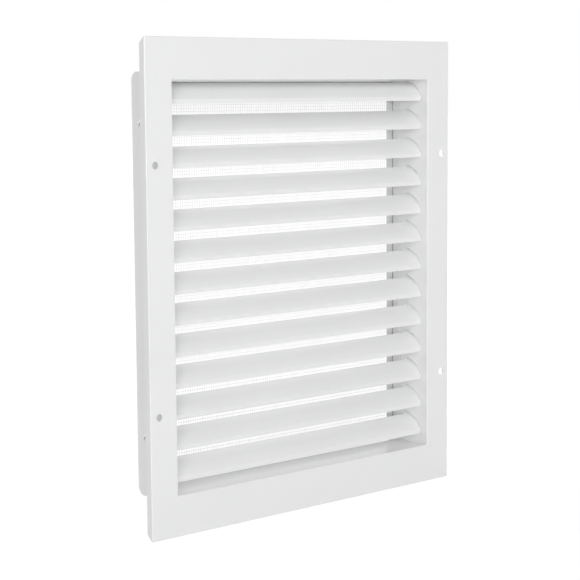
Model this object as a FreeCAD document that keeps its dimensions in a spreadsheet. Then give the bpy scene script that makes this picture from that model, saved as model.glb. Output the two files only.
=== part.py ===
import FreeCAD, Part
import math
import os
from types import SimpleNamespace

import Sketcher
from FreeCAD import Placement, Rotation, Vector

# Gable vent with fixed curved blades and an insect screen, folded from sheet steel.
# The front of the face is the plane Y = 0 and looks towards -Y. +Z is up, X = 0 is the middle.

# Driving dimensions in millimetres, apart from counts and the two angles in degrees
SIZES = (
    ("sheet", 0.6, "thickness of the frame, side plate and screen frame sheet"),
    ("bend_radius", 0.1, "inside radius of every fold"),
    ("face_width", 298.45, "face over its lips, across"),
    ("face_height", 349.25, "face over its lips, upright"),
    ("lip_depth", 5.7, "how far the outer lip stands back from the front of the face"),
    ("lip_notch", 4.4, "how far each lip's free edge stops short of the corner"),
    ("side_border", 23.225, "width of the face beside the opening"),
    ("level_border", 29.425, "width of the face above and below the opening"),
    ("return_depth", 33.0, "depth of the upper and lower inner returns"),
    ("side_return", 2.4, "depth of the narrow return round the opening"),
    ("screw_hole", 5.2, "diameter of the mounting holes"),
    ("screw_edge", 7.725, "from the face's side edges to the mounting holes"),
    ("screw_span_upright", 174.6, "between mounting holes, upright"),
    ("plate_overlap", 6.3, "how far the side plates reach past the opening, above and below"),
    ("plate_corner", 6.5, "radius of the side plates' rear corners"),
    ("plate_flange", 9.0, "width of the side plates' flange behind the face"),
    ("blade_count", 13, "number of blades"),
    ("blade_sheet", 0.7, "thickness of the blade sheet"),
    ("blade_radius", 30.0, "radius of a blade's upper surface"),
    ("blade_start", 20.4, "angle from the top of the arc to a blade's rear edge"),
    ("blade_sweep", 56.0, "angle from the top of the arc to the drip lip"),
    ("blade_lip", 3.0, "height of the upright drip lip"),
    ("blade_setback", 7.0, "from the front of the face to the drip lip"),
    ("blade_top_gap", 1.97, "from the upper return to the first blade's rear edge"),
    ("blade_bottom_gap", 8.4, "from the last drip lip to the lower return"),
    ("blade_end_gap", 1.0, "from a blade's end to the side plate"),
    ("blade_lip_corner", 1.6, "radius at the ends of the drip lip"),
    ("tab_near", 7.2, "from the centre of the arc to the near edge of an end tab"),
    ("tab_far", 20.6, "from the centre of the arc to the far edge of an end tab"),
    ("tab_root", 3.0, "how far a tab reaches in from the end of its blade"),
    ("tab_fold", 3.2, "how far a tab is folded up outside the side plate"),
    ("fold_gap", 1.4, "room between a folded tab and the side plate"),
    ("fold_cover", 2.6, "how far a tab's fold reaches back past its slot"),
    ("slot_clearance", 0.15, "room below and beside a tab in its slot"),
    ("slot_relief", 0.9, "room above a tab in its slot"),
    ("screen_gap", 17.1, "from a blade's rear edge to the screen"),
    ("screen_thickness", 0.5, "two layers of screen wire"),
    ("screen_clearance", 0.1, "room round the screen in its frame"),
    ("screen_rim", 1.6, "width of the selvedge round the screen"),
    ("wire_width", 0.9, "width of one ridge of the screen"),
    ("wire_layer", 0.3, "thickness of one layer of ridges"),
    ("screen_columns", 10, "gaps across the screen"),
    ("screen_rows", 12, "gaps up the screen"),
    ("frame_leg", 8.0, "depth of the screen frame's legs"),
    ("frame_flange", 7.0, "width of the screen frame's rear flange"),
    ("frame_notch", 0.9, "how far each leg stops short of the corner"),
    ("frame_clearance", 0.1, "room beside the screen frame"),
    ("frame_gap", 0.8, "room above and below the screen frame's legs"),
    ("rear_setback", 5.6, "from the screen frame to the rear of the side plates"),
    ("rivet_shank", 3.2, "diameter of a rivet's shank"),
    ("rivet_clearance", 0.1, "room across a rivet in its hole"),
    ("rivet_head", 6.4, "diameter of a rivet's head"),
    ("rivet_head_height", 1.3, "height of a rivet's head"),
    ("rivet_eye", 2.2, "diameter of the hole in a rivet's head"),
    ("rivet_eye_depth", 2.2, "depth of the hole in a rivet's head"),
    ("rivet_tail", 4.2, "diameter of a rivet's formed end"),
    ("rivet_tail_length", 1.8, "length of a rivet's formed end"),
    ("rivet_inset", 3.2, "from the screen forward to the rivets"),
    ("rivet_low", 108.7, "from the middle of the vent down to the lower rivets"),
    ("rivet_span", 223.4, "between the two rivets of one side"),
)

XY, XZ, YZ = "XY_Plane", "XZ_Plane", "YZ_Plane"
START, END, CENTRE = range(1, 4)
ORIGIN = (-1, 1)
LEVEL_AXIS, UPRIGHT_AXIS = range(-1, -3, -1)
NEAR = 1e-4


class Size:
    # A number together with the spreadsheet formula that gives it
    def __init__(self, value, formula):
        self.value = value
        self.formula = formula

    def __add__(self, other):
        other = as_size(other)
        return Size(self.value + other.value, f"({self.formula} + {other.formula})")

    def __sub__(self, other):
        other = as_size(other)
        return Size(self.value - other.value, f"({self.formula} - {other.formula})")

    def __mul__(self, other):
        other = as_size(other)
        return Size(self.value * other.value, f"({self.formula} * {other.formula})")

    def __truediv__(self, other):
        other = as_size(other)
        return Size(self.value / other.value, f"({self.formula} / {other.formula})")

    def __neg__(self):
        return self * -1


def as_size(number):
    return number if isinstance(number, Size) else Size(number, f"{number}")


def sine(angle):
    return Size(math.sin(math.radians(angle.value)), f"sin({angle.formula})")


def cosine(angle):
    return Size(math.cos(math.radians(angle.value)), f"cos({angle.formula})")


def write_sheet(doc):
    sheet = doc.addObject("Spreadsheet::Sheet", "dimensions")
    sizes = SimpleNamespace()
    for row, (alias, value, note) in enumerate(SIZES, 1):
        sheet.set(f"A{row}", note)
        sheet.set(f"B{row}", str(value))
        sheet.setAlias(f"B{row}", alias)
        setattr(sizes, alias, Size(value, f"dimensions.{alias}"))
    return sizes


def add_places(d):
    # Places that several pieces share, worked out from the driving dimensions
    d.opening_x = d.face_width / 2 - d.side_border
    d.opening_z = d.face_height / 2 - d.level_border
    d.plate_inside = d.opening_x + d.sheet
    d.plate_outside = d.plate_inside + d.sheet
    d.fold_outside = d.bend_radius + d.sheet
    d.lip_reach = d.blade_radius * sine(d.blade_sweep)
    d.rear_reach = d.blade_radius * sine(d.blade_start)
    d.rear_rise = d.blade_radius * cosine(d.blade_start)
    d.blade_drop = d.rear_rise - d.blade_radius * cosine(d.blade_sweep) + d.blade_lip
    d.blade_axis_y = d.blade_setback + d.lip_reach
    d.first_axis_z = d.opening_z - d.blade_top_gap - d.rear_rise
    rise = d.opening_z * 2 - d.blade_top_gap - d.blade_bottom_gap - d.blade_drop
    d.blade_pitch = rise / (d.blade_count - 1)
    d.blade_length = (d.plate_inside - d.blade_end_gap) * 2
    d.screen_y = d.blade_axis_y - d.rear_reach + d.screen_gap
    d.frame_flange_y = d.screen_y + d.screen_thickness
    d.frame_back_y = d.frame_flange_y + d.sheet
    d.frame_x = d.plate_inside - d.frame_clearance
    d.frame_z = d.opening_z - d.frame_clearance
    d.frame_leg_z = d.opening_z - d.frame_gap
    d.screen_x = d.frame_x - d.sheet - d.screen_clearance
    d.screen_z = d.frame_leg_z - d.sheet - d.screen_clearance
    d.plate_rear_y = d.frame_back_y + d.rear_setback
    d.rivet_y = d.screen_y - d.rivet_inset


def bind(item, name, size):
    item.setExpression(name, as_size(size).formula)


def add_body(doc, name):
    body = doc.addObject("PartDesign::Body", name)
    body.Label = name
    return body


def origin_item(body, role):
    return next(item for item in body.Origin.OriginFeatures if item.Role == role)


def add_sketch(body, name, role, right=0, up=0, out=0):
    # right, up and out move the sketch in its own plane and along its normal
    sketch = body.newObject("Sketcher::SketchObject", name)
    sketch.AttachmentSupport = [(origin_item(body, role), "")]
    sketch.MapMode = "FlatFace"
    shift = [as_size(part) for part in (right, up, out)]
    sketch.AttachmentOffset = Placement(Vector(*[part.value for part in shift]), Rotation())
    for axis, part in zip("xyz", shift):
        bind(sketch, f"AttachmentOffset.Base.{axis}", part)
    return sketch


def constrain(sketch, kind, *items, size=None):
    if size is None:
        return sketch.addConstraint(Sketcher.Constraint(kind, *items))
    index = sketch.addConstraint(Sketcher.Constraint(kind, *items, size.value))
    bind(sketch, f"Constraints[{index}]", size)
    return index


def join(sketch, *pairs):
    for first, second in pairs:
        constrain(sketch, "Coincident", *first, *second)


def locate(sketch, point, across=None, upright=None):
    for kind, size, axis in (("DistanceX", across, UPRIGHT_AXIS), ("DistanceY", upright, LEVEL_AXIS)):
        if size is None:
            continue
        size = as_size(size)
        if size.value == 0:
            constrain(sketch, "PointOnObject", *point, axis)
        elif size.value > 0:
            constrain(sketch, kind, *ORIGIN, *point, size=size)
        else:
            constrain(sketch, kind, *point, *ORIGIN, size=-size)


def line(sketch, start, end):
    return sketch.addGeometry(Part.LineSegment(Vector(*start), Vector(*end)), False)


def arc(sketch, radius, first, last):
    circle = Part.Circle(Vector(), Vector(0, 0, 1), radius)
    return sketch.addGeometry(Part.ArcOfCircle(circle, first, last), False)


def outline(sketch, corners):
    corners = [(as_size(across), as_size(upright)) for across, upright in corners]
    points = [(across.value, upright.value) for across, upright in corners]
    sides = [line(sketch, point, points[index - len(points) + 1]) for index, point in enumerate(points)]
    for index, side in enumerate(sides):
        join(sketch, ((side, START), (sides[index - 1], END)))
        locate(sketch, (side, START), *corners[index])


def rectangle(sketch, left, right, low, high):
    outline(sketch, ((left, low), (right, low), (right, high), (left, high)))


def centred_rectangle(sketch, half_width, half_height):
    rectangle(sketch, -half_width, half_width, -half_height, half_height)


def ring(sketch, half_width, half_height, wall):
    # A closed band of one width, measured inwards from its outer edge
    centred_rectangle(sketch, half_width, half_height)
    centred_rectangle(sketch, half_width - wall, half_height - wall)


def circles(sketch, places, diameter):
    for across, upright in places:
        across, upright = as_size(across), as_size(upright)
        centre = Vector(across.value, upright.value)
        circle = sketch.addGeometry(Part.Circle(centre, Vector(0, 0, 1), diameter.value / 2), False)
        locate(sketch, (circle, CENTRE), across, upright)
        constrain(sketch, "Diameter", circle, size=diameter)


def arc_band(sketch, outer, inner, near, far):
    # Part of a blade's arc, between two upright edges in front of its centre
    bands = []
    for radius in (outer, inner):
        first = math.acos(-near.value / radius.value)
        last = math.acos(-far.value / radius.value)
        band = arc(sketch, radius.value, first, last)
        join(sketch, ((band, CENTRE), ORIGIN))
        constrain(sketch, "Radius", band, size=radius)
        bands.append(band)
    for end, place in ((START, near), (END, far)):
        angles = [math.acos(-place.value / radius.value) for radius in (outer, inner)]
        heights = [radius.value * math.sin(angle) for radius, angle in zip((outer, inner), angles)]
        edge = line(sketch, (-place.value, heights[0]), (-place.value, heights[1]))
        join(sketch, ((edge, START), (bands[0], end)), ((edge, END), (bands[1], end)))
        constrain(sketch, "Vertical", edge)
        locate(sketch, (edge, START), across=-place)


def pad(body, sketch, name, length, backwards=False, both_ways=False):
    feature = body.newObject("PartDesign::Pad", name)
    feature.Profile = sketch
    feature.Reversed = backwards
    feature.SideType = "Symmetric" if both_ways else "One side"
    bind(feature, "Length", length)
    return feature


def cut_through(body, sketch, name):
    feature = body.newObject("PartDesign::Pocket", name)
    feature.Profile = sketch
    feature.Type = "ThroughAll"
    feature.SideType = "Symmetric"
    return feature


def cut_in(body, sketch, name, depth, backwards):
    feature = body.newObject("PartDesign::Pocket", name)
    feature.Profile = sketch
    feature.Reversed = backwards
    bind(feature, "Length", depth)
    return feature


def fillet(body, name, radius, test):
    # Rounds the edges of the last feature whose bounding box passes the test
    body.Document.recompute()
    base = body.Tip
    names = [f"Edge{n}" for n, edge in enumerate(base.Shape.Edges, 1) if test(edge.BoundBox)]
    feature = body.newObject("PartDesign::Fillet", name)
    feature.Base = (base, names)
    bind(feature, "Radius", radius)
    return feature


def mirrored(body, original, name, role):
    feature = body.newObject("PartDesign::Mirrored", name)
    feature.Originals = [original]
    feature.MirrorPlane = (origin_item(body, role), [""])
    body.Tip = feature
    return feature


def repeated(body, original, name, axis, pitch, count, backwards=False):
    feature = body.newObject("PartDesign::LinearPattern", name)
    feature.Originals = [original]
    feature.Direction = (origin_item(body, axis), [""])
    feature.Reversed = backwards
    bind(feature, "Occurrences", count)
    bind(feature, "Length", pitch * (count - 1))
    body.Tip = feature
    return feature


def same(first, second):
    return abs(first - second) < NEAR


def lies_at_depth(box, depth):
    return same(box.YMin, depth) and same(box.YMax, depth)


def on_rectangle(box, half_width, half_height):
    # True for an edge that lies along a side of a rectangle about the Y axis
    on_side = same(box.XMin, box.XMax) and same(abs(box.XMin), half_width) and box.ZLength > NEAR
    on_end = same(box.ZMin, box.ZMax) and same(abs(box.ZMin), half_height) and box.XLength > NEAR
    return on_side or on_end


def at_corner(box, half_width, half_height):
    # True for an edge that runs front to back at a corner of such a rectangle
    upright = same(box.ZMin, box.ZMax) and same(abs(box.ZMin), half_height)
    across = same(box.XMin, box.XMax) and same(abs(box.XMin), half_width)
    return upright and across


def make_front_frame(doc, d):
    # Face, outer lips and inner returns, folded from one sheet
    body = add_body(doc, "front_frame")
    face_x, face_z = d.face_width / 2, d.face_height / 2

    face = add_sketch(body, "face_outline", XZ)
    centred_rectangle(face, face_x, face_z)
    centred_rectangle(face, d.opening_x, d.opening_z)
    pad(body, face, "face", d.sheet, backwards=True)

    lips = add_sketch(body, "lip_outline", XZ)
    ring(lips, face_x, face_z, d.sheet)
    pad(body, lips, "outer_lips", d.lip_depth, backwards=True)

    collar = add_sketch(body, "collar_outline", XZ)
    ring(collar, d.opening_x + d.sheet, d.opening_z + d.sheet, d.sheet)
    pad(body, collar, "narrow_return", d.side_return, backwards=True)

    returns = add_sketch(body, "return_outline", XZ)
    rectangle(returns, -d.opening_x, d.opening_x, d.opening_z, d.opening_z + d.sheet)
    rectangle(returns, -d.opening_x, d.opening_x, -(d.opening_z + d.sheet), -d.opening_z)
    pad(body, returns, "deep_returns", d.return_depth, backwards=True)

    lip_x, lip_z = face_x - d.sheet, face_z - d.sheet
    back_x, back_z = d.opening_x + d.sheet, d.opening_z + d.sheet

    def outer_fold(box):
        front = lies_at_depth(box, 0) and on_rectangle(box, face_x.value, face_z.value)
        return front or at_corner(box, face_x.value, face_z.value)

    def outer_fold_inside(box):
        return lies_at_depth(box, d.sheet.value) and on_rectangle(box, lip_x.value, lip_z.value)

    def inner_fold(box):
        return lies_at_depth(box, 0) and on_rectangle(box, d.opening_x.value, d.opening_z.value)

    def inner_fold_inside(box):
        return lies_at_depth(box, d.sheet.value) and on_rectangle(box, back_x.value, back_z.value)

    fillet(body, "outer_folds", d.fold_outside, outer_fold)
    fillet(body, "outer_folds_inside", d.bend_radius, outer_fold_inside)
    fillet(body, "inner_folds", d.fold_outside, inner_fold)
    fillet(body, "inner_folds_inside", d.bend_radius, inner_fold_inside)

    # Each lip is cut back at its ends, so that the corners stay open
    side_notch = add_sketch(body, "side_lip_notches", YZ, out=-face_x)
    level_notch = add_sketch(body, "level_lip_notches", XY, out=face_z)
    for end in (1, -1):
        low, high = (face_z - d.lip_notch) * end, face_z * end
        outline(side_notch, ((d.fold_outside, high), (d.lip_depth, high), (d.lip_depth, low)))
        low, high = (face_x - d.lip_notch) * end, face_x * end
        outline(level_notch, ((high, d.fold_outside), (high, d.lip_depth), (low, d.lip_depth)))
    side_cut = cut_in(body, side_notch, "left_lip_ends", d.sheet, backwards=True)
    mirrored(body, side_cut, "right_lip_ends", YZ)
    level_cut = cut_in(body, level_notch, "upper_lip_ends", d.sheet, backwards=False)
    mirrored(body, level_cut, "lower_lip_ends", XY)

    holes = add_sketch(body, "screw_hole_outline", XZ)
    across, upright = face_x - d.screw_edge, d.screw_span_upright / 2
    places = [(across * x, upright * z) for x in (1, -1) for z in (1, -1)]
    circles(holes, places, d.screw_hole)
    cut_through(body, holes, "screw_holes")
    return body


def make_side_plate(doc, d, name, side):
    # Flat carrier for the blade ends, with a flange that is welded behind the face
    body = add_body(doc, name)
    half_height = d.opening_z + d.plate_overlap

    wall = add_sketch(body, f"{name}_outline", YZ, out=d.plate_inside * side)
    rectangle(wall, d.sheet, d.plate_rear_y, -half_height, half_height)
    pad(body, wall, f"{name}_wall", d.sheet, backwards=side < 0)

    flange = add_sketch(body, f"{name}_flange_outline", XZ, out=-d.sheet)
    ends = sorted((d.plate_inside * side, (d.plate_outside + d.plate_flange) * side), key=lambda x: x.value)
    rectangle(flange, *ends, -half_height, half_height)
    pad(body, flange, f"{name}_flange", d.sheet, backwards=True)

    def outside_of_fold(box):
        return lies_at_depth(box, d.sheet.value) and same(box.XMin, box.XMax) \
            and same(box.XMin, d.plate_inside.value * side)

    def inside_of_fold(box):
        return lies_at_depth(box, d.sheet.value * 2) and same(box.XMin, box.XMax) \
            and same(box.XMin, d.plate_outside.value * side)

    def rear_corner(box):
        return same(box.ZMin, box.ZMax) and lies_at_depth(box, d.plate_rear_y.value)

    fillet(body, f"{name}_fold", d.fold_outside, outside_of_fold)
    fillet(body, f"{name}_fold_inside", d.bend_radius, inside_of_fold)
    fillet(body, f"{name}_rear_corners", d.plate_corner, rear_corner)

    rivet_holes = add_sketch(body, f"{name}_rivet_holes", YZ)
    places = [(d.rivet_y, -d.rivet_low), (d.rivet_y, d.rivet_span - d.rivet_low)]
    circles(rivet_holes, places, d.rivet_shank + d.rivet_clearance)
    cut_through(body, rivet_holes, f"{name}_rivet_cut")

    slot = add_sketch(body, f"{name}_slot_outline", YZ, right=d.blade_axis_y, up=d.first_axis_z)
    outer = d.blade_radius + d.slot_relief
    inner = d.blade_radius - d.blade_sheet - d.slot_clearance
    arc_band(slot, outer, inner, d.tab_near - d.slot_clearance, d.tab_far + d.slot_clearance)
    first_slot = cut_through(body, slot, f"{name}_slot")
    repeated(body, first_slot, f"{name}_slots", "Z_Axis", d.blade_pitch, d.blade_count, backwards=True)
    return body


def blade_outline(sketch, d):
    # Arc from the rear edge forwards and down to the upright drip lip
    outer, inner = d.blade_radius, d.blade_radius - d.blade_sheet
    lip_front, lip_back = d.lip_reach, d.lip_reach - d.blade_sheet
    rear_angle = math.radians(d.blade_start.value)
    first = math.pi / 2 + rear_angle
    upper = arc(sketch, outer.value, first, math.acos(-lip_front.value / outer.value))
    under = arc(sketch, inner.value, first, math.acos(-lip_back.value / inner.value))
    front_top = math.sqrt(outer.value ** 2 - lip_front.value ** 2)
    back_top = math.sqrt(inner.value ** 2 - lip_back.value ** 2)
    low = front_top - d.blade_lip.value
    front = line(sketch, (-lip_front.value, front_top), (-lip_front.value, low))
    foot = line(sketch, (-lip_front.value, low), (-lip_back.value, low))
    back = line(sketch, (-lip_back.value, low), (-lip_back.value, back_top))
    inside, outside = [(-radius.value * math.sin(rear_angle), radius.value * math.cos(rear_angle))
                       for radius in (inner, outer)]
    rear = line(sketch, inside, outside)

    join(sketch, ((upper, CENTRE), ORIGIN), ((under, CENTRE), ORIGIN))
    join(sketch, ((upper, END), (front, START)), ((front, END), (foot, START)))
    join(sketch, ((foot, END), (back, START)), ((back, END), (under, END)))
    join(sketch, ((under, START), (rear, START)), ((rear, END), (upper, START)))
    constrain(sketch, "Horizontal", foot)
    constrain(sketch, "Vertical", front)
    constrain(sketch, "Vertical", back)
    constrain(sketch, "Radius", upper, size=outer)
    constrain(sketch, "Radius", under, size=inner)
    constrain(sketch, "DistanceY", front, END, front, START, size=d.blade_lip)
    locate(sketch, (upper, START), across=-outer * sine(d.blade_start))
    locate(sketch, (under, START), across=-inner * sine(d.blade_start))
    locate(sketch, (front, START), across=-lip_front)
    locate(sketch, (back, START), across=-lip_back)


def make_blade(doc, d, number):
    # The blade's own origin is the centre of its arc
    name = f"blade_{number:02d}"
    body = add_body(doc, name)
    profile = add_sketch(body, f"{name}_outline", YZ)
    blade_outline(profile, d)
    pad(body, profile, f"{name}_sheet", d.blade_length, both_ways=True)

    half_length = d.blade_length.value / 2
    foot = d.rear_rise.value - d.blade_drop.value

    def lip_end(box):
        at_end = same(box.XMin, box.XMax) and same(abs(box.XMin), half_length)
        return at_end and same(box.ZMin, box.ZMax) and same(box.ZMin, foot)

    fillet(body, f"{name}_lip_corners", d.blade_lip_corner, lip_end)

    root_x, fold_x = d.blade_length / 2 - d.tab_root, d.plate_outside + d.fold_gap
    tab = add_sketch(body, f"{name}_tab_outline", YZ, out=root_x)
    arc_band(tab, d.blade_radius, d.blade_radius - d.blade_sheet, d.tab_near, d.tab_far)
    right_tab = pad(body, tab, f"{name}_right_tab", fold_x + d.blade_sheet - root_x)
    mirrored(body, right_tab, f"{name}_left_tab", YZ)

    fold = add_sketch(body, f"{name}_fold_outline", YZ, out=fold_x)
    fold_near = d.tab_near - d.slot_clearance - d.fold_cover
    arc_band(fold, d.blade_radius + d.tab_fold, d.blade_radius - d.blade_sheet, fold_near, d.tab_far)
    right_fold = pad(body, fold, f"{name}_right_fold", d.blade_sheet)
    mirrored(body, right_fold, f"{name}_left_fold", YZ)

    bind(body, "Placement.Base.y", d.blade_axis_y)
    bind(body, "Placement.Base.z", d.first_axis_z - d.blade_pitch * (number - 1))
    return body


def make_screen_frame(doc, d):
    # Rear flange that backs the screen, with legs folded forwards inside the side plates
    body = add_body(doc, "screen_frame")
    flange = add_sketch(body, "screen_flange_outline", XZ, out=-d.frame_flange_y)
    ring(flange, d.frame_x, d.frame_z, d.frame_flange)
    pad(body, flange, "screen_flange", d.sheet, backwards=True)

    legs = add_sketch(body, "screen_leg_outline", XZ, out=-(d.frame_back_y - d.frame_leg))
    leg_x, leg_z = d.frame_x - d.frame_notch, d.frame_leg_z - d.frame_notch
    inside_x, inside_z = d.frame_x - d.sheet, d.frame_leg_z - d.sheet
    rectangle(legs, inside_x, d.frame_x, -leg_z, leg_z)
    rectangle(legs, -d.frame_x, -inside_x, -leg_z, leg_z)
    rectangle(legs, -leg_x, leg_x, inside_z, d.frame_leg_z)
    rectangle(legs, -leg_x, leg_x, -d.frame_leg_z, -inside_z)
    pad(body, legs, "screen_legs", d.frame_leg, backwards=True)

    rivet_holes = add_sketch(body, "screen_rivet_holes", YZ)
    places = [(d.rivet_y, -d.rivet_low), (d.rivet_y, d.rivet_span - d.rivet_low)]
    circles(rivet_holes, places, d.rivet_shank + d.rivet_clearance)
    cut_through(body, rivet_holes, "screen_rivet_cut")
    return body


def make_insect_screen(doc, d):
    # Upright ridges in the front layer and level ridges in the rear layer, with a selvedge
    body = add_body(doc, "insect_screen")
    rim = add_sketch(body, "selvedge_outline", XZ, out=-d.screen_y)
    ring(rim, d.screen_x, d.screen_z, d.screen_rim)
    pad(body, rim, "selvedge", d.screen_thickness, backwards=True)

    half_wire = d.wire_width / 2
    pitch_across = (d.screen_x * 2 - d.screen_rim) / d.screen_columns
    pitch_upright = (d.screen_z * 2 - d.screen_rim) / d.screen_rows
    first_x = pitch_across - d.screen_x + d.screen_rim / 2
    first_z = pitch_upright - d.screen_z + d.screen_rim / 2

    upright = add_sketch(body, "upright_ridge_outline", XZ, out=-d.screen_y)
    end_z = d.screen_z - d.screen_rim / 2
    rectangle(upright, first_x - half_wire, first_x + half_wire, -end_z, end_z)
    ridge = pad(body, upright, "upright_ridge", d.wire_layer, backwards=True)
    repeated(body, ridge, "upright_ridges", "X_Axis", pitch_across, d.screen_columns - 1)

    level_y = d.screen_y + d.screen_thickness - d.wire_layer
    level = add_sketch(body, "level_ridge_outline", XZ, out=-level_y)
    end_x = d.screen_x - d.screen_rim / 2
    rectangle(level, -end_x, end_x, first_z - half_wire, first_z + half_wire)
    ridge = pad(body, level, "level_ridge", d.wire_layer, backwards=True)
    repeated(body, ridge, "level_ridges", "Z_Axis", pitch_upright, d.screen_rows - 1)
    return body


def rivet_outline(sketch, d, side):
    # Half section about the level axis of the sketch, from the formed end to the domed head
    grip = d.plate_outside - d.frame_x + d.sheet
    seat = d.plate_outside * side
    crown = (d.plate_outside + d.rivet_head_height) * side
    eye_end = (d.plate_outside + d.rivet_head_height - d.rivet_eye_depth) * side
    tail = (d.plate_outside - grip) * side
    tail_end = (d.plate_outside - grip - d.rivet_tail_length) * side
    shank, head = d.rivet_shank / 2, d.rivet_head / 2
    eye, formed = d.rivet_eye / 2, d.rivet_tail / 2

    corners = ((crown, eye), (eye_end, eye), (eye_end, 0), (tail_end, 0), (tail_end, formed),
               (tail, formed), (tail, shank), (seat, shank), (seat, head))
    corners = [(as_size(across), as_size(upright)) for across, upright in corners]
    points = [(across.value, upright.value) for across, upright in corners]
    sides = [line(sketch, *pair) for pair in zip(points, points[1:])]
    join(sketch, *[((first, END), (second, START)) for first, second in zip(sides, sides[1:])])
    for edge, corner in zip(sides, corners):
        locate(sketch, (edge, START), *corner)
    locate(sketch, (sides[-1], END), *corners[-1])

    rise, run = d.rivet_head_height.value, head.value
    centre = seat.value + side * (rise ** 2 + eye.value ** 2 - run ** 2) / (2 * rise)
    radius = math.hypot(seat.value - centre, run)
    angles = sorted(math.atan2(upright, across - centre) for across, upright in (points[0], points[-1]))
    circle = Part.Circle(Vector(centre, 0), Vector(0, 0, 1), radius)
    dome = sketch.addGeometry(Part.ArcOfCircle(circle, *angles), False)
    crown_end, seat_end = (START, END) if side > 0 else (END, START)
    join(sketch, ((dome, crown_end), (sides[0], START)), ((dome, seat_end), (sides[-1], END)))
    constrain(sketch, "PointOnObject", dome, CENTRE, LEVEL_AXIS)


def make_rivets(doc, d, name, side):
    # Two blind rivets through a side plate and the screen frame's leg
    body = add_body(doc, name)
    half_section = add_sketch(body, f"{name}_outline", XZ, up=-d.rivet_low, out=-d.rivet_y)
    rivet_outline(half_section, d, side)
    rivet = body.newObject("PartDesign::Revolution", f"{name}_lower")
    rivet.Profile = half_section
    rivet.ReferenceAxis = (half_section, ["H_Axis"])
    rivet.Angle = 360
    doc.recompute()
    repeated(body, rivet, f"{name}_pair", "Z_Axis", d.rivet_span, as_size(2))
    return body


def check(doc, bodies):
    for item in doc.Objects:
        if "Invalid" in item.State or "Error" in item.State:
            raise RuntimeError(f"{item.Label} failed: {item.State}")
    for body in bodies:
        if body.Shape.isNull() or not body.Shape.isValid():
            raise RuntimeError(f"{body.Label} has no valid shape")


def main():
    doc = FreeCAD.newDocument("gable_vent")
    sizes = write_sheet(doc)
    doc.recompute()
    add_places(sizes)
    bodies = [make_front_frame(doc, sizes)]
    bodies.append(make_side_plate(doc, sizes, "left_side_plate", -1))
    bodies.append(make_side_plate(doc, sizes, "right_side_plate", 1))
    for number in range(1, int(sizes.blade_count.value) + 1):
        bodies.append(make_blade(doc, sizes, number))
    bodies.append(make_screen_frame(doc, sizes))
    bodies.append(make_insect_screen(doc, sizes))
    bodies.append(make_rivets(doc, sizes, "left_rivets", -1))
    bodies.append(make_rivets(doc, sizes, "right_rivets", 1))
    doc.recompute()
    check(doc, bodies)

    os.makedirs("parts", exist_ok=True)
    for body in bodies:
        body.Shape.exportStep(f"parts/{body.Label}.step")
        box = body.Shape.BoundBox
        print(f"{body.Label}: {len(body.Shape.Solids)} solid, {body.Shape.Volume:.1f} mm3,",
              f"X {box.XMin:.2f} {box.XMax:.2f} Y {box.YMin:.2f} {box.YMax:.2f} Z {box.ZMin:.2f} {box.ZMax:.2f}")


main()
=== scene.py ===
import math

import bpy
from mathutils import Matrix, Vector


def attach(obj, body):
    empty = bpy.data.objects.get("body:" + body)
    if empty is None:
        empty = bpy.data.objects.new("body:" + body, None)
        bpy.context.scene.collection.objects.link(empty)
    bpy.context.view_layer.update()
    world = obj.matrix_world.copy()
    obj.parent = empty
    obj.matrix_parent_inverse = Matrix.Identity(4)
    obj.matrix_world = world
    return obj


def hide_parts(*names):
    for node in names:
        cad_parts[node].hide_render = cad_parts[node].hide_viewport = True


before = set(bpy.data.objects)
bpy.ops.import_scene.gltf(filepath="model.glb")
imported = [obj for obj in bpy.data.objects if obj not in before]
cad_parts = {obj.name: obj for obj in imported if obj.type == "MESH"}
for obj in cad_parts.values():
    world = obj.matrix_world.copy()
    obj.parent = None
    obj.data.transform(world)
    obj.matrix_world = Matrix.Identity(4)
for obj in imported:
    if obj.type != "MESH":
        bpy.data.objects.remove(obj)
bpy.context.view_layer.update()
scene = bpy.context.scene
scene.view_settings.view_transform = "Standard"
print("frame loaded:", len(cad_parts), "nodes")


def addNode(tree, kind, **settings):
    node = tree.nodes.new(kind)
    for name, value in settings.items():
        setattr(node, name, value)
    return node


def feed(tree, socket, value):
    # a socket is linked, anything else is set on the input itself
    if isinstance(value, bpy.types.NodeSocket):
        tree.links.new(value, socket)
    else:
        socket.default_value = value


def calc(tree, operation, *values):
    node = addNode(tree, "ShaderNodeMath", operation=operation)
    for socket, value in zip(node.inputs, values):
        feed(tree, socket, value)
    return node.outputs[0]


def joinAxes(tree, **axes):
    # a vector from any of X, Y and Z
    vector = addNode(tree, "ShaderNodeCombineXYZ")
    for axis, value in axes.items():
        feed(tree, vector.inputs[axis], value)
    return vector.outputs[0]


def newMaterial(name):
    material = bpy.data.materials.new(name)
    material.use_nodes = True
    tree = material.node_tree
    tree.nodes.clear()
    output = addNode(tree, "ShaderNodeOutputMaterial")
    return material, tree, output


def addNoise(tree, place, scale, detail):
    noise = addNode(tree, "ShaderNodeTexNoise")
    noise.inputs["Scale"].default_value = scale
    noise.inputs["Detail"].default_value = detail
    tree.links.new(place, noise.inputs["Vector"])
    return noise.outputs["Fac"]


def addRamp(tree, value, places, colours):
    ramp = addNode(tree, "ShaderNodeValToRGB")
    for element, place, colour in zip(ramp.color_ramp.elements, places, colours):
        element.position = place
        element.color = (*colour, 1)
    tree.links.new(value, ramp.inputs["Fac"])
    return ramp.outputs["Color"]


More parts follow.
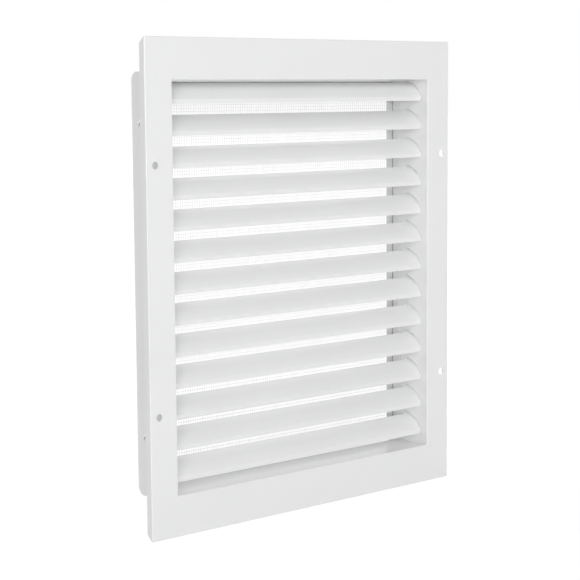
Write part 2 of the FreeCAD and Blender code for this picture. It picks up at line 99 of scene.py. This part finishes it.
# white semi-gloss powder coat, noise scales in cells per metre
paintFinish = {
    "colour": (0.872, 0.874, 0.876),
    "shade": 0.018,              # how far the colour drifts over the sheet
    "driftScale": 14.0,
    "driftDetail": 3.0,
    "driftRange": (0.3, 0.7),    # noise values between which the colour drifts
    "roughness": (0.13, 0.19),
    "cloudScale": 90.0,          # of the changes in roughness
    "cloudDetail": 4.0,
    "peelSize": 0.0016,          # orange peel, metres
    "peelDetail": 1.5,
    "peelHeight": 0.0000035,
}


def makePaint(name, finish):
    material, tree, output = newMaterial(name)
    shader = addNode(tree, "ShaderNodeBsdfPrincipled")
    place = addNode(tree, "ShaderNodeTexCoord").outputs["Object"]

    drift = addNoise(tree, place, finish["driftScale"], finish["driftDetail"])
    low = [channel * (1 - finish["shade"]) for channel in finish["colour"]]
    tint = addRamp(tree, drift, finish["driftRange"], (low, finish["colour"]))
    tree.links.new(tint, shader.inputs["Base Color"])

    cloud = addNoise(tree, place, finish["cloudScale"], finish["cloudDetail"])
    gloss = addNode(tree, "ShaderNodeMapRange")
    for label, value in zip(("To Min", "To Max"), finish["roughness"]):
        gloss.inputs[label].default_value = value
    tree.links.new(cloud, gloss.inputs["Value"])
    tree.links.new(gloss.outputs["Result"], shader.inputs["Roughness"])

    peel = addNoise(tree, place, 1 / finish["peelSize"], finish["peelDetail"])
    bump = addNode(tree, "ShaderNodeBump")
    bump.inputs["Strength"].default_value = 1.0
    bump.inputs["Distance"].default_value = finish["peelHeight"]
    tree.links.new(peel, bump.inputs["Height"])
    tree.links.new(bump.outputs["Normal"], shader.inputs["Normal"])
    tree.links.new(shader.outputs["BSDF"], output.inputs["Surface"])
    return material


# pale bare wire of the mesh
wireFinish = {
    "colour": (0.80, 0.80, 0.80),
    "dull": (0.68, 0.68, 0.68),
    "dullRange": (0.35, 0.65),   # noise values between which the wire brightens
    "dullScale": 260.0,
    "dullDetail": 2.0,
    "roughness": 0.38,
    "metallic": 0.1,
}

# dark band round the mesh, painted shade for the shadow in the gap along the screen's edge
edgeShadeFinish = {
    "colour": (0.290, 0.290, 0.295),
    "dull": (0.230, 0.230, 0.235),
    "dullRange": (0.35, 0.65),
    "dullScale": 260.0,
    "dullDetail": 2.0,
    "roughness": 0.6,
    "metallic": 0.0,
}


def makeWire(name, finish):
    material, tree, output = newMaterial(name)
    shader = addNode(tree, "ShaderNodeBsdfPrincipled")
    shader.inputs["Metallic"].default_value = finish["metallic"]
    shader.inputs["Roughness"].default_value = finish["roughness"]
    place = addNode(tree, "ShaderNodeTexCoord").outputs["Object"]
    drawn = addNoise(tree, place, finish["dullScale"], finish["dullDetail"])
    tint = addRamp(tree, drawn, finish["dullRange"], (finish["dull"], finish["colour"]))
    tree.links.new(tint, shader.inputs["Base Color"])
    tree.links.new(shader.outputs["BSDF"], output.inputs["Surface"])
    return material


whitePaint = makePaint("whitePaint", paintFinish)
screenWire = makeWire("screenWire", wireFinish)
# a dark material that paints the shade in the gap along the screen's edge
paintedEdgeShade = makeWire("paintedEdgeShade", edgeShadeFinish)
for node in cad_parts.values():
    node.data.materials.clear()
    node.data.materials.append(whitePaint)
print("finishes made")


# kinds of input that a Geometry Nodes tree takes here
length, whole, stuff = "NodeSocketFloat", "NodeSocketInt", "NodeSocketMaterial"


def newTree(name, inputs):
    # a Geometry Nodes tree with named inputs: label -> (socket type, value)
    tree = bpy.data.node_groups.new(name, "GeometryNodeTree")
    tree.interface.new_socket("Geometry", in_out="OUTPUT", socket_type="NodeSocketGeometry")
    for label, (kind, _) in inputs.items():
        tree.interface.new_socket(label, in_out="INPUT", socket_type=kind)
    source = addNode(tree, "NodeGroupInput")
    return tree, {label: source.outputs[label] for label in inputs}


def finishTree(tree, geometry, material):
    real = addNode(tree, "GeometryNodeRealizeInstances")
    tree.links.new(geometry, real.inputs["Geometry"])
    smooth = addNode(tree, "GeometryNodeSetShadeSmooth")
    tree.links.new(real.outputs["Geometry"], smooth.inputs["Geometry"])
    paint = addNode(tree, "GeometryNodeSetMaterial")
    tree.links.new(smooth.outputs["Geometry"], paint.inputs["Geometry"])
    feed(tree, paint.inputs["Material"], material)
    target = addNode(tree, "NodeGroupOutput")
    tree.links.new(paint.outputs["Geometry"], target.inputs["Geometry"])


def growPiece(name, tree, inputs, sharp=None):
    # runs the tree once and keeps its result as a plain mesh at the origin
    holder = bpy.data.objects.new(name + "Grower", bpy.data.meshes.new(name + "Seed"))
    scene.collection.objects.link(holder)
    modifier = holder.modifiers.new(tree.name, "NODES")
    modifier.node_group = tree
    for item in tree.interface.items_tree:
        if item.in_out == "INPUT":
            modifier[item.identifier] = inputs[item.name][1]
    depsgraph = bpy.context.evaluated_depsgraph_get()
    mesh = bpy.data.meshes.new_from_object(holder.evaluated_get(depsgraph))
    mesh.name = name
    bpy.data.objects.remove(holder)
    if sharp is not None:
        mesh.set_sharp_from_angle(angle=sharp)
    piece = bpy.data.objects.new(name, mesh)
    scene.collection.objects.link(piece)
    triangles = sum(len(face.vertices) - 2 for face in mesh.polygons)
    print(name, "grown:", triangles, "triangles")
    return piece


# curved blades: an arc of sheet with an upright drip lip,
# and an end tab each side folded up outside the plate
bladeSizes = {
    "halfLength": (length, 0.1256),
    "foldInside": (length, 0.1286),
    "sheet": (length, 0.0007),
    "radius": (length, 0.0300),
    "rearAngle": (length, math.radians(20.4)),
    "lipAngle": (length, math.radians(56.0)),
    "lip": (length, 0.0030),
    "lipCorner": (length, 0.0016),
    "setback": (length, 0.0070),
    "firstTop": (length, 0.14323),
    "pitch": (length, 0.02214061),
    "tabNear": (length, 0.0072),
    "tabFar": (length, 0.0206),
    "tabRoot": (length, 0.0030),
    "tabFold": (length, 0.0032),
    "tabDrop": (length, 0.00003),   # keeps a tab's face just under the sheet's own
    "foldNear": (length, 0.00445),
    "count": (whole, 13),
    "paint": (stuff, whitePaint),
}
bladeMesh = {
    "sheetRows": 58,
    "tabRows": 17,
    "weld": 0.00001,             # points this close are merged, metres
    "sharp": math.radians(24),   # edges over this angle stay sharp
}


def thicken(tree, sheetMesh, depth):
    # gives a sheet its thickness behind its face and closes it
    thick = addNode(tree, "GeometryNodeExtrudeMesh", mode="FACES")
    thick.inputs["Individual"].default_value = False
    tree.links.new(sheetMesh, thick.inputs["Mesh"])
    tree.links.new(calc(tree, "MULTIPLY", depth, -1.0), thick.inputs["Offset Scale"])
    turn = addNode(tree, "GeometryNodeFlipFaces")
    tree.links.new(thick.outputs["Mesh"], turn.inputs["Mesh"])
    both = addNode(tree, "GeometryNodeJoinGeometry")
    tree.links.new(turn.outputs["Mesh"], both.inputs["Geometry"])
    tree.links.new(sheetMesh, both.inputs["Geometry"])
    weld = addNode(tree, "GeometryNodeMergeByDistance")
    weld.inputs["Distance"].default_value = bladeMesh["weld"]
    tree.links.new(both.outputs["Geometry"], weld.inputs["Geometry"])
    return weld.outputs["Geometry"]


def gridSpot(tree, rows):
    # a unit grid two points wide, with its column (-0.5 to 0.5) and row (0 to 1) as values
    grid = addNode(tree, "GeometryNodeMeshGrid")
    grid.inputs["Size X"].default_value = 1.0
    grid.inputs["Size Y"].default_value = 1.0
    grid.inputs["Vertices X"].default_value = 2
    grid.inputs["Vertices Y"].default_value = rows
    spot = addNode(tree, "ShaderNodeSeparateXYZ")
    tree.links.new(addNode(tree, "GeometryNodeInputPosition").outputs[0], spot.inputs[0])
    return grid.outputs["Mesh"], spot.outputs["X"], calc(tree, "ADD", spot.outputs["Y"], 0.5)


def shapeGrid(tree, mesh, x, y, z):
    shaped = addNode(tree, "GeometryNodeSetPosition")
    tree.links.new(mesh, shaped.inputs["Geometry"])
    tree.links.new(joinAxes(tree, X=x, Y=y, Z=z), shaped.inputs["Position"])
    return shaped.outputs["Geometry"]


def bladeSheet(tree, d, axisY, axisZ):
    # the row gives the way along the section, from the foot of the lip to the rear edge
    mesh, column, row = gridSpot(tree, bladeMesh["sheetRows"])
    arc = calc(tree, "SUBTRACT", d["lipAngle"], d["rearAngle"])
    run = calc(tree, "ADD", d["lip"], calc(tree, "MULTIPLY", d["radius"], arc))
    way = calc(tree, "MULTIPLY", row, run)
    past = calc(tree, "MAXIMUM", calc(tree, "SUBTRACT", way, d["lip"]), 0.0)
    angle = calc(tree, "SUBTRACT", d["lipAngle"], calc(tree, "DIVIDE", past, d["radius"]))
    below = calc(tree, "MAXIMUM", calc(tree, "SUBTRACT", d["lip"], way), 0.0)
    reach = calc(tree, "MULTIPLY", d["radius"], calc(tree, "SINE", angle))
    y = calc(tree, "SUBTRACT", axisY, reach)
    z = calc(tree, "MULTIPLY_ADD", d["radius"], calc(tree, "COSINE", angle), axisZ)
    z = calc(tree, "SUBTRACT", z, below)

    # the lip's lower corners are rounded
    short = calc(tree, "MAXIMUM", calc(tree, "SUBTRACT", d["lipCorner"], way), 0.0)
    corner = calc(tree, "POWER", d["lipCorner"], 2.0)
    chord = calc(tree, "SUBTRACT", corner, calc(tree, "POWER", short, 2.0))
    cut = calc(tree, "SUBTRACT", d["lipCorner"], calc(tree, "SQRT", chord))
    end = calc(tree, "SUBTRACT", d["halfLength"], cut)
    x = calc(tree, "MULTIPLY", calc(tree, "SIGN", column), end)
    return thicken(tree, shapeGrid(tree, mesh, x, y, z), d["sheet"])


def bladeTab(tree, d, axisY, axisZ, side, folded):
    # out through the slot, or the longer fold up along the outside of the plate
    mesh, column, row = gridSpot(tree, bladeMesh["tabRows"])
    near = d["foldNear"] if folded else d["tabNear"]
    back = calc(tree, "MULTIPLY", row, calc(tree, "SUBTRACT", d["tabFar"], near))
    forward = calc(tree, "SUBTRACT", d["tabFar"], back)
    inner = calc(tree, "POWER", calc(tree, "SUBTRACT", d["radius"], d["tabDrop"]), 2.0)
    rise = calc(tree, "SUBTRACT", inner, calc(tree, "POWER", forward, 2.0))
    height = calc(tree, "SQRT", rise)
    y = calc(tree, "SUBTRACT", axisY, forward)
    step = calc(tree, "ADD", calc(tree, "MULTIPLY", column, side), 0.5)
    if folded:
        outside = calc(tree, "ADD", d["foldInside"], d["sheet"])
        x = calc(tree, "MULTIPLY", outside, side)
        low = calc(tree, "SUBTRACT", height, d["sheet"])
        tall = calc(tree, "ADD", d["tabFold"], d["sheet"])
        z = calc(tree, "ADD", axisZ, calc(tree, "MULTIPLY_ADD", step, tall, low))
    else:
        root = calc(tree, "SUBTRACT", d["halfLength"], d["tabRoot"])
        reach = calc(tree, "SUBTRACT", d["foldInside"], root)
        x = calc(tree, "MULTIPLY", calc(tree, "MULTIPLY_ADD", step, reach, root), side)
        z = calc(tree, "ADD", axisZ, height)
    return thicken(tree, shapeGrid(tree, mesh, x, y, z), d["sheet"])


def makeBladeTree(inputs):
    tree, d = newTree("curvedBlades", inputs)
    reach = calc(tree, "MULTIPLY", d["radius"], calc(tree, "SINE", d["lipAngle"]))
    axisY = calc(tree, "ADD", d["setback"], reach)
    rise = calc(tree, "MULTIPLY", d["radius"], calc(tree, "COSINE", d["rearAngle"]))
    axisZ = calc(tree, "SUBTRACT", d["firstTop"], rise)

    pieces = [bladeSheet(tree, d, axisY, axisZ)]
    for side in (-1.0, 1.0):
        for folded in (False, True):
            pieces.append(bladeTab(tree, d, axisY, axisZ, side, folded))
    blade = addNode(tree, "GeometryNodeJoinGeometry")
    for piece in pieces:
        tree.links.new(piece, blade.inputs["Geometry"])

    stack = addNode(tree, "GeometryNodeMeshLine")
    tree.links.new(d["count"], stack.inputs["Count"])
    down = calc(tree, "MULTIPLY", d["pitch"], -1.0)
    tree.links.new(joinAxes(tree, Z=down), stack.inputs["Offset"])
    rows = addNode(tree, "GeometryNodeInstanceOnPoints")
    tree.links.new(stack.outputs["Mesh"], rows.inputs["Points"])
    tree.links.new(blade.outputs["Geometry"], rows.inputs["Instance"])
    finishTree(tree, rows.outputs["Instances"], d["paint"])
    return tree


blades = growPiece("blades", makeBladeTree(bladeSizes), bladeSizes, sharp=bladeMesh["sharp"])
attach(blades, "root")
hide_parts(*["blade_%02d" % number for number in range(1, 14)])
print("blades stacked")


# insect screen: plain weave, each wire passing in front of and behind the ones it crosses
screenSizes = {
    "halfWidth": 0.1254,
    "halfHeight": 0.1433,
    "middleY": 0.03876,
    "wireRadius": 0.00012,
    "wireSides": 6,
    "columns": 115,
    "rows": 128,
}


def makeWireTree(name, inputs, upright):
    # one direction of the weave, every wire a zigzag with a point at each crossing
    tree, d = newTree(name, inputs)
    along, across = ("Z", "X") if upright else ("X", "Z")

    line = addNode(tree, "GeometryNodeCurvePrimitiveLine")
    start = calc(tree, "MULTIPLY", d["halfRun"], -1.0)
    tree.links.new(joinAxes(tree, **{along: start}), line.inputs["Start"])
    tree.links.new(joinAxes(tree, **{along: d["halfRun"]}), line.inputs["End"])
    crossings = addNode(tree, "GeometryNodeResampleCurve")
    tree.links.new(line.outputs["Curve"], crossings.inputs["Curve"])
    tree.links.new(d["crossings"], crossings.inputs["Count"])

    # in this mode the Offset input is the place of the last wire
    beam = addNode(tree, "GeometryNodeMeshLine", mode="END_POINTS")
    tree.links.new(d["wires"], beam.inputs["Count"])
    for label, place in (("Start Location", d["firstWire"]), ("Offset", d["lastWire"])):
        spot = joinAxes(tree, **{across: place, "Y": d["middleY"]})
        tree.links.new(spot, beam.inputs[label])
    wires = addNode(tree, "GeometryNodeInstanceOnPoints")
    tree.links.new(beam.outputs["Mesh"], wires.inputs["Points"])
    tree.links.new(crossings.outputs["Curve"], wires.inputs["Instance"])
    real = addNode(tree, "GeometryNodeRealizeInstances")
    tree.links.new(wires.outputs["Instances"], real.inputs["Geometry"])

    # in front at even crossings, behind at odd ones, the other way round on the next wire
    strand = addNode(tree, "GeometryNodeCurveOfPoint")
    odd = calc(tree, "ADD", strand.outputs["Curve Index"], strand.outputs["Index in Curve"])
    odd = calc(tree, "MODULO", calc(tree, "ADD", odd, d["firstSide"]), 2.0)
    swing = calc(tree, "SUBTRACT", calc(tree, "MULTIPLY", odd, 2.0), 1.0)
    shift = calc(tree, "MULTIPLY", swing, d["wireRadius"])
    woven = addNode(tree, "GeometryNodeSetPosition")
    tree.links.new(real.outputs["Geometry"], woven.inputs["Geometry"])
    tree.links.new(joinAxes(tree, Y=shift), woven.inputs["Offset"])

    profile = addNode(tree, "GeometryNodeCurvePrimitiveCircle")
    tree.links.new(d["wireSides"], profile.inputs["Resolution"])
    tree.links.new(d["wireRadius"], profile.inputs["Radius"])
    tube = addNode(tree, "GeometryNodeCurveToMesh")
    tree.links.new(woven.outputs["Geometry"], tube.inputs["Curve"])
    tree.links.new(profile.outputs["Curve"], tube.inputs["Profile Curve"])
    tube.inputs["Fill Caps"].default_value = True
    finishTree(tree, tube.outputs["Mesh"], d["wire"])
    return tree


def weaveHalf(name, sizes, upright, upper):
    # half of the wires of one direction, so that no piece grows too heavy
    span, run = sizes["halfWidth"], sizes["halfHeight"]
    total, points = sizes["columns"], sizes["rows"]
    if not upright:
        span, run, total, points = run, span, points, total
    middle = (total + 1) // 2
    low, high = (middle, total - 1) if upper else (0, middle - 1)
    pitch = 2 * span / (total - 1)
    inputs = {
        "halfRun": (length, run),
        "crossings": (whole, points),
        "firstWire": (length, low * pitch - span),
        "lastWire": (length, high * pitch - span),
        "wires": (whole, high - low + 1),
        "firstSide": (whole, (low + (0 if upright else 1)) % 2),
        "middleY": (length, sizes["middleY"]),
        "wireRadius": (length, sizes["wireRadius"]),
        "wireSides": (whole, sizes["wireSides"]),
        "wire": (stuff, screenWire),
    }
    return growPiece(name, makeWireTree(name, inputs, upright), inputs)


# dark band all round the mesh, painted shade for the shadow in the gap along the screen's edge
edgeShadeSizes = {
    "halfWidth": 0.1258,
    "halfHeight": 0.1437,
    "band": 0.0004,
    "front": 0.03851,
    "back": 0.03901,
}


def makeEdgeShade(name, sizes, material):
    outer = (sizes["halfWidth"], sizes["halfHeight"])
    inner = (outer[0] - sizes["band"], outer[1] - sizes["band"])
    turns = ((-1, -1), (1, -1), (1, 1), (-1, 1))
    points, rings = [], []
    for y in (sizes["front"], sizes["back"]):
        for half in (outer, inner):
            rings.append(range(len(points), len(points) + len(turns)))
            points += [(x * half[0], y, z * half[1]) for x, z in turns]
    outerFront, innerFront, outerBack, innerBack = rings
    faces = []
    for this in range(len(turns)):
        after = (this + 1) % len(turns)
        faces += [
            (outerFront[this], outerFront[after], innerFront[after], innerFront[this]),
            (outerBack[this], innerBack[this], innerBack[after], outerBack[after]),
            (outerFront[this], outerBack[this], outerBack[after], outerFront[after]),
            (innerFront[this], innerFront[after], innerBack[after], innerBack[this]),
        ]
    mesh = bpy.data.meshes.new(name)
    mesh.from_pydata(points, [], faces)
    mesh.materials.append(material)
    shadeBand = bpy.data.objects.new(name, mesh)
    scene.collection.objects.link(shadeBand)
    return shadeBand


screenPieces = [
    weaveHalf("screenLeftWires", screenSizes, True, False),
    weaveHalf("screenRightWires", screenSizes, True, True),
    weaveHalf("screenLowerWires", screenSizes, False, False),
    weaveHalf("screenUpperWires", screenSizes, False, True),
    # the dark band paints the shade along the screen's edge
    makeEdgeShade("screenEdgeShade", edgeShadeSizes, paintedEdgeShade),
]
for piece in screenPieces:
    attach(piece, "root")
    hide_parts("insect_screen")
print("insect screen woven")


def seenRays(tree):
    # 1 where the camera sees the surface, straight or in metal and glass, otherwise 0
    rays = addNode(tree, "ShaderNodeLightPath")
    seen = calc(tree, "MAXIMUM", rays.outputs["Is Camera Ray"], rays.outputs["Is Glossy Ray"])
    return calc(tree, "MAXIMUM", seen, rays.outputs["Is Transmission Ray"])


floorSetup = {
    "height": -0.17463,
    "size": 30.0,
    "grey": 0.80,
    "ownShade": 0.16,        # share of the floor's own shading under the object
    "fade": (0.10, 0.70),    # distance over which that share runs out, metres
    "glow": 1.09,            # white that the camera sees for the rest
}


def makeFloor(setup):
    half, height = setup["size"] / 2, setup["height"]
    turns = ((-1, -1), (1, -1), (1, 1), (-1, 1))
    mesh = bpy.data.meshes.new("floor")
    mesh.from_pydata([(x * half, y * half, height) for x, y in turns], [], [(0, 1, 2, 3)])
    floor = bpy.data.objects.new("floor", mesh)
    scene.collection.objects.link(floor)
    material, tree, output = newMaterial("paleFloor")
    cover = addNode(tree, "ShaderNodeBsdfDiffuse")
    cover.inputs["Color"].default_value = (setup["grey"],) * 3 + (1,)
    glow = addNode(tree, "ShaderNodeEmission")
    glow.inputs["Color"].default_value = (1, 1, 1, 1)
    glow.inputs["Strength"].default_value = setup["glow"]
    spread = addNode(tree, "ShaderNodeVectorMath", operation="LENGTH")
    tree.links.new(addNode(tree, "ShaderNodeTexCoord").outputs["Object"], spread.inputs[0])
    fade = addNode(tree, "ShaderNodeMapRange", interpolation_type="SMOOTHSTEP")
    fade.inputs["From Min"].default_value, fade.inputs["From Max"].default_value = setup["fade"]
    fade.inputs["To Min"].default_value = 1 - setup["ownShade"]
    fade.inputs["To Max"].default_value = 1.0
    tree.links.new(spread.outputs["Value"], fade.inputs["Value"])
    share = calc(tree, "MULTIPLY", seenRays(tree), fade.outputs["Result"])
    mix = addNode(tree, "ShaderNodeMixShader")
    tree.links.new(share, mix.inputs["Fac"])
    tree.links.new(cover.outputs[0], mix.inputs[1])
    tree.links.new(glow.outputs[0], mix.inputs[2])
    tree.links.new(mix.outputs[0], output.inputs["Surface"])
    mesh.materials.append(material)


worldSetup = {
    "light": 0.19,   # strength on the object
    "seen": 1.0,     # strength that the camera sees
}


def makeWorld(setup):
    world = bpy.data.worlds.new("softRoom")
    world.use_nodes = True
    scene.world = world
    tree = world.node_tree
    tree.nodes.clear()
    extra = setup["seen"] - setup["light"]
    level = calc(tree, "MULTIPLY_ADD", seenRays(tree), extra, setup["light"])
    back = addNode(tree, "ShaderNodeBackground")
    back.inputs["Color"].default_value = (1, 1, 1, 1)
    tree.links.new(level, back.inputs["Strength"])
    output = addNode(tree, "ShaderNodeOutputWorld")
    tree.links.new(back.outputs[0], output.inputs["Surface"])


# soft panels: azimuth 0 stands in front of the face, negative to its left
lampSetup = {
    "viewerPanel": {"azimuth": -45, "elevation": 6, "size": 2.2, "power": 96.0},
    "frontPanel": {"azimuth": -4, "elevation": 10, "size": 2.5, "power": 47.0},
    "topPanel": {"azimuth": -15, "elevation": 68, "size": 2.5, "power": 12.0},
    "rightPanel": {"azimuth": 97, "elevation": 12, "size": 2.2, "power": 12.0},
    "rearHighPanel": {"azimuth": 178, "elevation": 45, "size": 2.5, "power": 72.0},
    "rearLowPanel": {"azimuth": 178, "elevation": 16, "size": 2.5, "power": 44.0},
}
lampDistance = 4.0


def makeLamps(setup):
    for name, lamp in setup.items():
        light = bpy.data.lights.new(name, "AREA")
        light.shape = "SQUARE"
        light.size = lamp["size"]
        light.energy = lamp["power"]
        item = bpy.data.objects.new(name, light)
        turn, rise = math.radians(lamp["azimuth"]), math.radians(lamp["elevation"])
        level = math.cos(rise)
        away = Vector((math.sin(turn) * level, -math.cos(turn) * level, math.sin(rise)))
        item.location = away * lampDistance
        item.rotation_euler = (-away).to_track_quat("-Z", "Y").to_euler()
        scene.collection.objects.link(item)


# the photograph's viewpoint: where the camera stands, how it turns and its focal length
cameraSetup = {
    "at": (-0.83696, -0.92243, 0.13679),
    "yaw": 41.54,
    "pitch": 6.711,
    "roll": -0.431,
    "focalShare": 1687.52 / 580,   # focal length over the width of the image
    "sensor": 36,
    "clip": (0.05, 100),
}


def makeCamera(setup):
    yaw, pitch, roll = (math.radians(setup[key]) for key in ("yaw", "pitch", "roll"))
    upright = Matrix(((1, 0, 0), (0, 0, -1), (0, 1, 0)))
    look = (Matrix.Rotation(roll, 3, "Z") @ Matrix.Rotation(pitch, 3, "X") @ upright
            @ Matrix.Rotation(yaw, 3, "Z"))
    right, down, ahead = look
    turn = Matrix((right, -down, -ahead)).transposed().to_4x4()
    data = bpy.data.cameras.new("photoCamera")
    data.sensor_width = setup["sensor"]
    data.lens = setup["sensor"] * setup["focalShare"]
    data.clip_start, data.clip_end = setup["clip"]
    camera = bpy.data.objects.new("photoCamera", data)
    camera.matrix_world = Matrix.Translation(setup["at"]) @ turn
    scene.collection.objects.link(camera)
    scene.camera = camera


makeFloor(floorSetup)
makeWorld(worldSetup)
makeLamps(lampSetup)
makeCamera(cameraSetup)
print("stage set")
